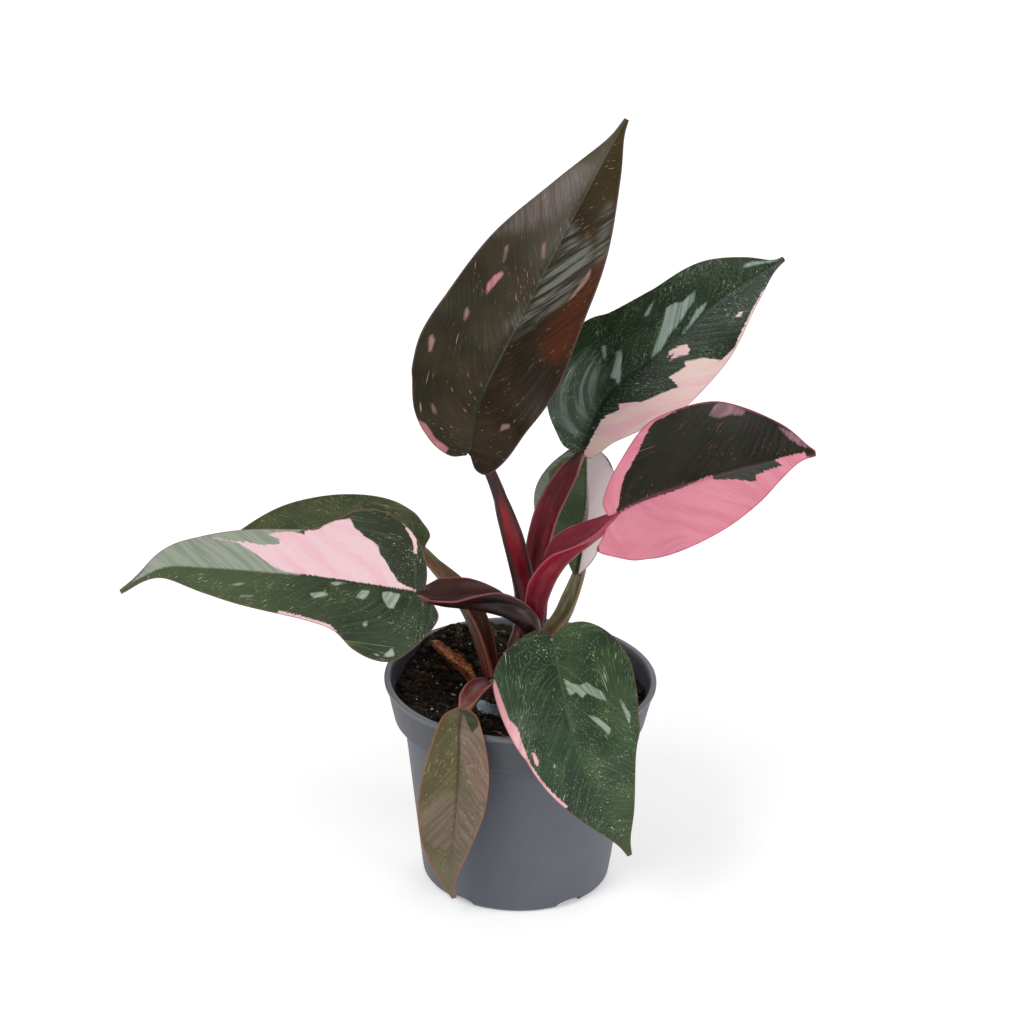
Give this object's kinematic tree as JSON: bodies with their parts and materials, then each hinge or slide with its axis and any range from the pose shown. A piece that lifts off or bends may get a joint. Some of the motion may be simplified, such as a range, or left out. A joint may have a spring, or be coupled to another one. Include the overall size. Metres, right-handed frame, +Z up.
{
  "type": "pink princess philodendron in a small nursery pot",
  "caption": "Young variegated philodendron, its heart-shaped leaves on winged petioles round a short stem, in a small round nursery pot filled with mix.",
  "frame": {"origin": "middle of the pot's underside, where it stands", "axes": "+Z up through the pot, -Y towards the side the plant is looked at from, +X to the right from there"},
  "size_m": [0.1469, 0.068, 0.1722],
  "materials": {
    "pot_plastic": "matte blue-grey moulded plastic",
    "potting_mix": "loose dark peat and bark",
    "plug_paper": "thin fibrous plug paper",
    "stem_skin": "smooth maroon plant skin",
    "dry_husk": "dry papery leaf base",
    "leaf_dark": "half-gloss dark olive-brown leaf",
    "leaf_green": "half-gloss green leaf with pink and grey sectors",
    "leaf_pink": "half-gloss leaf, half pink and half dark green",
    "leaf_bronze": "half-gloss bronze-green leaf with pale sectors"
  },
  "bodies": {
    "root": {"pot": "pot_plastic", "soil": "potting_mix", "plug_sleeve": "plug_paper", "plug_mix": "potting_mix", "stem": "stem_skin", "dry_leaf_base": "dry_husk", "leaf_top": "leaf_dark", "leaf_upper_right": "leaf_green", "leaf_right": "leaf_pink", "leaf_left": "leaf_green", "leaf_back_left": "leaf_green", "leaf_front": "leaf_green", "leaf_hanging": "leaf_bronze", "leaf_back": "leaf_bronze"}
  },
  "joints": []
}
